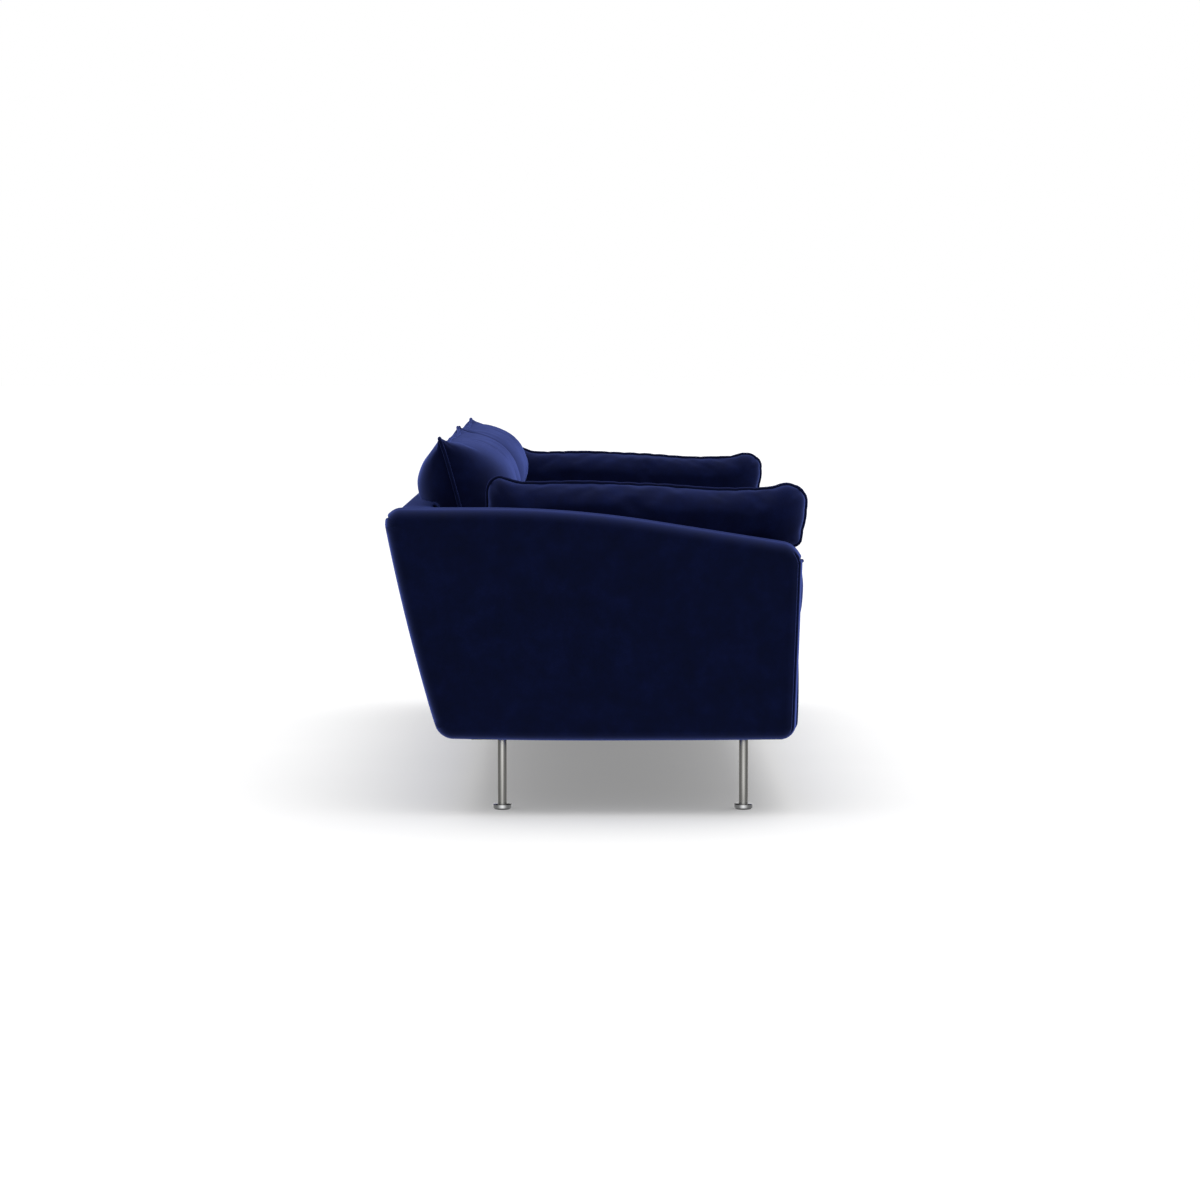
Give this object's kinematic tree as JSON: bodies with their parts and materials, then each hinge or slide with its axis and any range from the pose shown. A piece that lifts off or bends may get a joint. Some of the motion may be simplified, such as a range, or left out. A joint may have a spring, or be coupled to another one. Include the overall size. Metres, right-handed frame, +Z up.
{
  "type": "sofa",
  "caption": "Velvet upholstered fixed sofa with rounded padded arms, loose seat, back and arm cushions, and slim steel legs with adjustable disc feet.",
  "frame": {"origin": "on the floor, midway along the sofa and midway from its front to its back", "axes": "+X along the sofa, +Y towards the back, -Y the way the sitter faces, +Z up"},
  "size_m": [2.1, 0.9, 0.8055],
  "materials": {
    "velvet_shell": "velvet, short dense pile",
    "velvet_cushion": "velvet, short dense pile",
    "foam": "cut polyurethane foam",
    "timber": "sawn beech",
    "plywood": "birch plywood",
    "spring_steel": "bright drawn wire",
    "fastener_steel": "zinc plated",
    "leg_steel": "satin stainless",
    "foot_steel": "polished",
    "glide_plastic": "moulded nylon",
    "black_cloth": "non-woven cloth",
    "webbing": "elastic webbing"
  },
  "bodies": {
    "frame": {"base_rail_front": "timber", "base_rail_back": "timber", "base_rail_left": "timber", "base_rail_right": "timber", "base_cross_rails": "timber", "leg_blocks": "timber", "seat_springs": "spring_steel", "spring_clips": "fastener_steel", "seat_deck": "black_cloth", "dust_cover": "black_cloth", "arm_post_front_left": "timber", "arm_post_rear_left": "timber", "arm_top_rail_left": "timber", "arm_panel_left": "plywood", "arm_foam_left": "foam", "arm_cover_left": "velvet_shell", "arm_post_front_right": "timber", "arm_post_rear_right": "timber", "arm_top_rail_right": "timber", "arm_panel_right": "plywood", "arm_foam_right": "foam", "arm_cover_right": "velvet_shell", "back_ribs": "plywood", "back_top_rail": "timber", "back_webbing": "webbing", "back_foam": "foam", "back_cover": "velvet_shell", "front_border_foam": "foam", "front_border_cover": "velvet_shell", "frame_bolts": "fastener_steel", "frame_nuts": "fastener_steel", "leg_plates": "fastener_steel", "plate_screws": "fastener_steel", "leg_front_left": "leg_steel", "leg_front_right": "leg_steel", "leg_rear_left": "leg_steel", "leg_rear_right": "leg_steel"},
    "seat_cushion_left": {"seat_cover_left": "velvet_cushion", "seat_core_left": "foam"},
    "back_cushion_left": {"back_cushion_cover_left": "velvet_cushion", "back_cushion_core_left": "foam"},
    "arm_cushion_left": {"arm_cushion_cover_left": "velvet_cushion", "arm_cushion_core_left": "foam"},
    "seat_cushion_right": {"seat_cover_right": "velvet_cushion", "seat_core_right": "foam"},
    "back_cushion_right": {"back_cushion_cover_right": "velvet_cushion", "back_cushion_core_right": "foam"},
    "arm_cushion_right": {"arm_cushion_cover_right": "velvet_cushion", "arm_cushion_core_right": "foam"},
    "glide_front_left": {"glide_front_left": "glide_plastic"},
    "foot_front_left": {"foot_front_left": "foot_steel"},
    "glide_front_right": {"glide_front_right": "glide_plastic"},
    "foot_front_right": {"foot_front_right": "foot_steel"},
    "glide_rear_left": {"glide_rear_left": "glide_plastic"},
    "foot_rear_left": {"foot_rear_left": "foot_steel"},
    "glide_rear_right": {"glide_rear_right": "glide_plastic"},
    "foot_rear_right": {"foot_rear_right": "foot_steel"}
  },
  "joints": [
    {"name": "seat_pull_left", "type": "slide", "parent": "frame", "child": "seat_cushion_left", "axis": [0, -1, 0], "range_m": [0, 0.6]},
    {"name": "seat_pull_right", "type": "slide", "parent": "frame", "child": "seat_cushion_right", "axis": [0, -1, 0], "range_m": [0, 0.6]},
    {"name": "back_cushion_lift_left", "type": "slide", "parent": "frame", "child": "back_cushion_left", "axis": [0, 0, 1], "range_m": [0, 0.4]},
    {"name": "back_cushion_lift_right", "type": "slide", "parent": "frame", "child": "back_cushion_right", "axis": [0, 0, 1], "range_m": [0, 0.4]},
    {"name": "arm_cushion_lift_left", "type": "slide", "parent": "frame", "child": "arm_cushion_left", "axis": [0, 0, 1], "range_m": [0, 0.25]},
    {"name": "arm_cushion_lift_right", "type": "slide", "parent": "frame", "child": "arm_cushion_right", "axis": [0, 0, 1], "range_m": [0, 0.25]},
    {"name": "glide_travel_front_left", "type": "slide", "parent": "frame", "child": "glide_front_left", "axis": [0, 0, -1], "range_m": [0, 0.0079]},
    {"name": "foot_turn_front_left", "type": "hinge", "parent": "glide_front_left", "child": "foot_front_left", "pos_m": [-0.935, -0.311, 0.006], "axis": [0, 0, 1], "range_deg": [0, 2250]},
    {"name": "glide_travel_front_right", "type": "slide", "parent": "frame", "child": "glide_front_right", "axis": [0, 0, -1], "range_m": [0, 0.0079]},
    {"name": "foot_turn_front_right", "type": "hinge", "parent": "glide_front_right", "child": "foot_front_right", "pos_m": [0.935, -0.311, 0.006], "axis": [0, 0, 1], "range_deg": [0, 2250]},
    {"name": "glide_travel_rear_left", "type": "slide", "parent": "frame", "child": "glide_rear_left", "axis": [0, 0, -1], "range_m": [0, 0.0079]},
    {"name": "foot_turn_rear_left", "type": "hinge", "parent": "glide_rear_left", "child": "foot_rear_left", "pos_m": [-0.935, 0.21194, 0.006], "axis": [0, 0, 1], "range_deg": [0, 2250]},
    {"name": "glide_travel_rear_right", "type": "slide", "parent": "frame", "child": "glide_rear_right", "axis": [0, 0, -1], "range_m": [0, 0.0079]},
    {"name": "foot_turn_rear_right", "type": "hinge", "parent": "glide_rear_right", "child": "foot_rear_right", "pos_m": [0.935, 0.21194, 0.006], "axis": [0, 0, 1], "range_deg": [0, 2250]}
  ],
  "couplings": [
    {"joint": "glide_travel_front_left", "follows": "foot_turn_front_left", "m_per_rad": 0.00019894},
    {"joint": "glide_travel_front_right", "follows": "foot_turn_front_right", "m_per_rad": 0.00019894},
    {"joint": "glide_travel_rear_left", "follows": "foot_turn_rear_left", "m_per_rad": 0.00019894},
    {"joint": "glide_travel_rear_right", "follows": "foot_turn_rear_right", "m_per_rad": 0.00019894}
  ]
}
